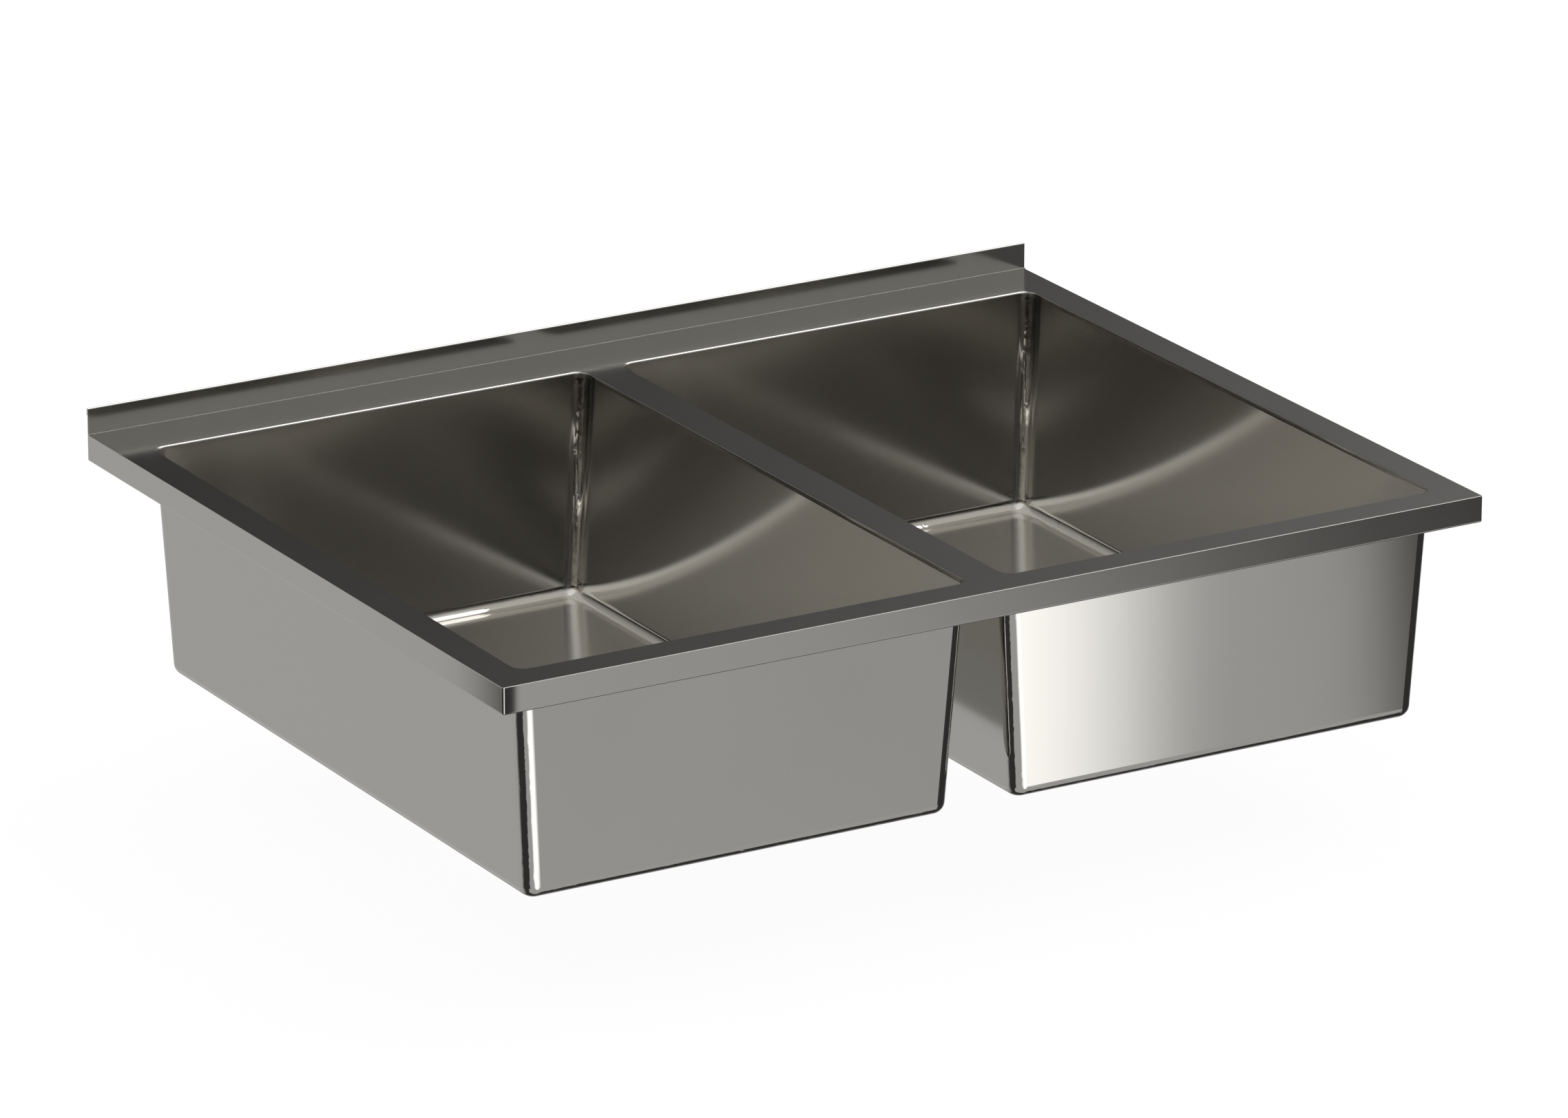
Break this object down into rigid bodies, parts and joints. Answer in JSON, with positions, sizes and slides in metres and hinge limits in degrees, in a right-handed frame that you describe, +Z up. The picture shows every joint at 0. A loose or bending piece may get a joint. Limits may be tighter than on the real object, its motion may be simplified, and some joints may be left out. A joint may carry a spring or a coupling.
{
  "type": "kitchen sink",
  "caption": "Sit-on stainless kitchen sink with rectangular bowls side by side, a turned-down rim, a low rear upstand and basket strainer wastes with lift-out baskets.",
  "frame": {"origin": "centre of the four fixing holes, in the plane where the rim rests on the cabinet", "axes": "+X along the sink to the right, seen from the front, +Y to the wall behind, +Z up"},
  "size_m": [0.8, 0.625, 0.2725],
  "materials": {
    "deck_steel": "fine satin, lightly mirrored",
    "bowl_steel": "fine satin, drawn",
    "stiffener_steel": "plain rolled sheet",
    "tag_brass": "plain",
    "damping_pad": "matt, bitumen-like",
    "strainer_steel": "polished",
    "seal_rubber": "matt",
    "waste_plastic": "moulded white",
    "nut_brass": "plain",
    "screw_steel": "plain",
    "basket_steel": "polished",
    "stopper_rubber": "matt",
    "post_chrome": "polished"
  },
  "bodies": {
    "sink": {"deck": "deck_steel", "left_bowl": "bowl_steel", "left_damping_pad": "damping_pad", "left_strainer_cup": "strainer_steel", "left_flange_seal": "seal_rubber", "left_body_seal": "seal_rubber", "left_waste_body": "waste_plastic", "left_clamp_nut": "nut_brass", "left_clamp_screw": "screw_steel", "right_bowl": "bowl_steel", "right_damping_pad": "damping_pad", "right_strainer_cup": "strainer_steel", "right_flange_seal": "seal_rubber", "right_body_seal": "seal_rubber", "right_waste_body": "waste_plastic", "right_clamp_nut": "nut_brass", "right_clamp_screw": "screw_steel", "divider_stiffener": "stiffener_steel", "rear_stiffener": "stiffener_steel", "front_left_fixing_plate": "stiffener_steel", "front_right_fixing_plate": "stiffener_steel", "rear_left_fixing_plate": "stiffener_steel", "rear_right_fixing_plate": "stiffener_steel", "earth_tag": "tag_brass"},
    "left_basket_unit": {"left_basket": "basket_steel", "left_basket_stopper": "stopper_rubber", "left_basket_post": "post_chrome"},
    "right_basket_unit": {"right_basket": "basket_steel", "right_basket_stopper": "stopper_rubber", "right_basket_post": "post_chrome"}
  },
  "joints": [
    {"name": "left_basket_lift", "type": "slide", "parent": "sink", "child": "left_basket_unit", "axis": [0, 0, 1], "range_m": [0, 0.21]},
    {"name": "right_basket_lift", "type": "slide", "parent": "sink", "child": "right_basket_unit", "axis": [0, 0, 1], "range_m": [0, 0.21]}
  ]
}
